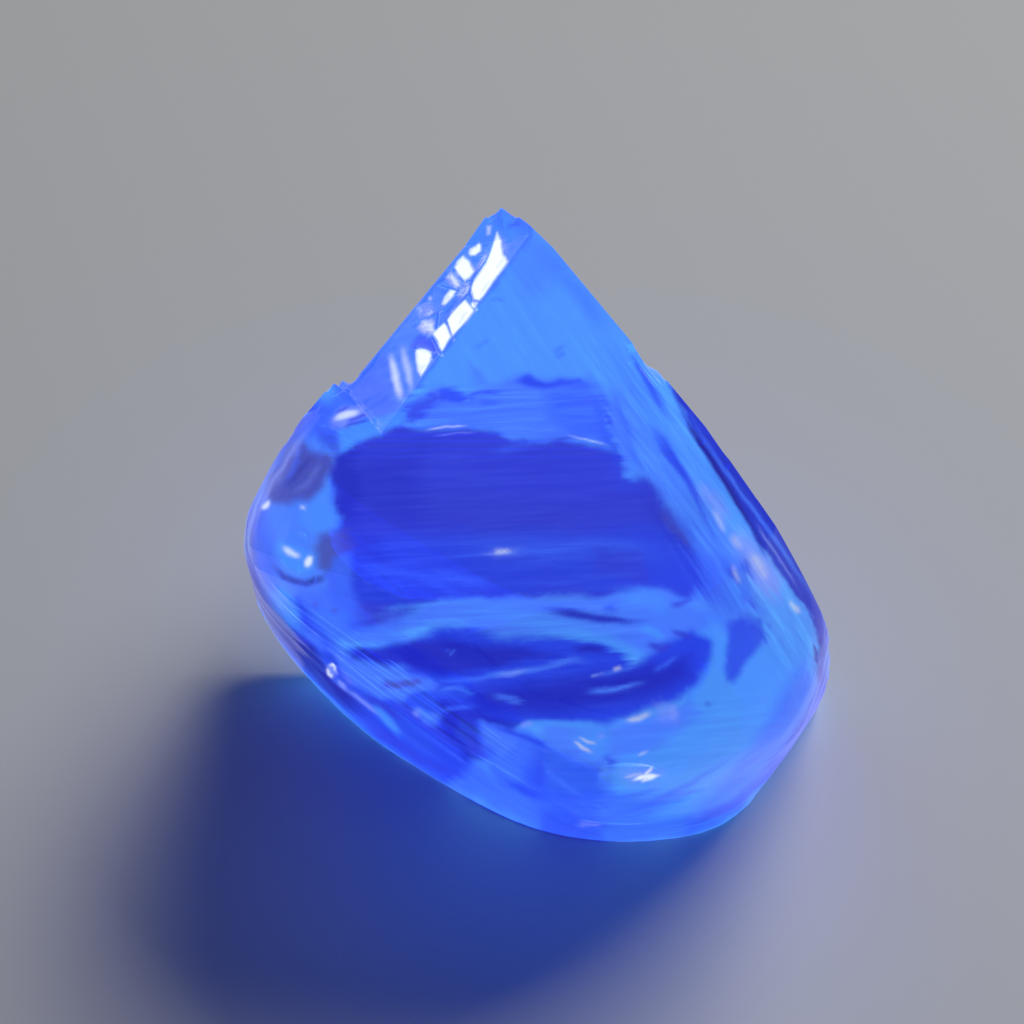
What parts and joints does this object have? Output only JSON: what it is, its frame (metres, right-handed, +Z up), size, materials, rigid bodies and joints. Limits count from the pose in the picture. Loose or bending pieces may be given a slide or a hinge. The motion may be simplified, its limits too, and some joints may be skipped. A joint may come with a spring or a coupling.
{
  "type": "rough diamond",
  "caption": "Uncut octahedral diamond crystal with flat natural faces, stepped growth edges, a bevelled edge of growth plates and a dissolution-rounded, chipped foot.",
  "frame": {"origin": "bottom centre of the crystal's bounding box, on the plane of the octahedral face that it rests on", "axes": "+Z up, square to the two horizontal octahedral faces; +Y from the rounded foot toward the sharp point; +X to the right, along the front edge"},
  "size_m": [0.0074, 0.0074, 0.0066],
  "materials": {
    "diamond": "natural crystal faces with a smooth, slightly waxy gloss, clear, glowing deep blue under long-wave ultraviolet light"
  },
  "bodies": {
    "root": {"rough_diamond": "diamond"}
  },
  "joints": []
}
